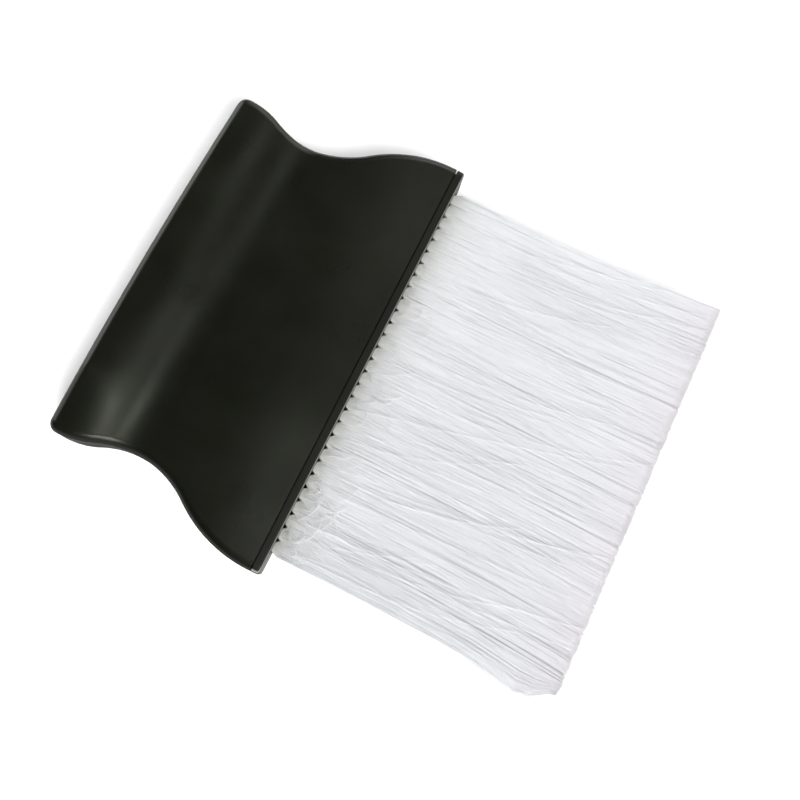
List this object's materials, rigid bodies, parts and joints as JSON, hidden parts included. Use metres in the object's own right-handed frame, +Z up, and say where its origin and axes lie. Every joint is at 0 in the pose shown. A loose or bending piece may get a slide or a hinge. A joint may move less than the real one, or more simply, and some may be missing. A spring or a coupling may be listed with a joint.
{
  "type": "neck duster brush",
  "caption": "Wide, flat neck duster: a wavy two-shell plastic grip with a drilled block in its mouth that holds long, soft, pale nylon tufts.",
  "frame": {"origin": "on the surface the brush lies on, under the middle of its overall box", "axes": "+X along the brush from the grip's back end to the bristle tips, +Y across its width, +Z up, square to the flat of the brush"},
  "size_m": [0.1734, 0.1462, 0.017],
  "materials": {
    "handle_plastic": "satin moulded ABS, very fine grain",
    "block_plastic": "satin moulded polypropylene",
    "bristle_nylon": "silky translucent nylon filament",
    "anchor_metal": "drawn and sheared flat wire"
  },
  "bodies": {
    "root": {"handle_upper_shell": "handle_plastic", "handle_lower_shell": "handle_plastic", "tuft_block": "block_plastic", "anchor_row_1": "anchor_metal", "anchor_row_2": "anchor_metal", "anchor_row_3": "anchor_metal", "anchor_row_4": "anchor_metal", "tuft_column_01": "bristle_nylon", "tuft_column_02": "bristle_nylon", "tuft_column_03": "bristle_nylon", "tuft_column_04": "bristle_nylon", "tuft_column_05": "bristle_nylon", "tuft_column_06": "bristle_nylon", "tuft_column_07": "bristle_nylon", "tuft_column_08": "bristle_nylon", "tuft_column_09": "bristle_nylon", "tuft_column_10": "bristle_nylon", "tuft_column_11": "bristle_nylon", "tuft_column_12": "bristle_nylon", "tuft_column_13": "bristle_nylon", "tuft_column_14": "bristle_nylon", "tuft_column_15": "bristle_nylon", "tuft_column_16": "bristle_nylon", "tuft_column_17": "bristle_nylon", "tuft_column_18": "bristle_nylon", "tuft_column_19": "bristle_nylon", "tuft_column_20": "bristle_nylon", "tuft_column_21": "bristle_nylon", "tuft_column_22": "bristle_nylon", "tuft_column_23": "bristle_nylon", "tuft_column_24": "bristle_nylon", "tuft_column_25": "bristle_nylon", "tuft_column_26": "bristle_nylon", "tuft_column_27": "bristle_nylon", "tuft_column_28": "bristle_nylon", "tuft_column_29": "bristle_nylon"}
  },
  "joints": []
}
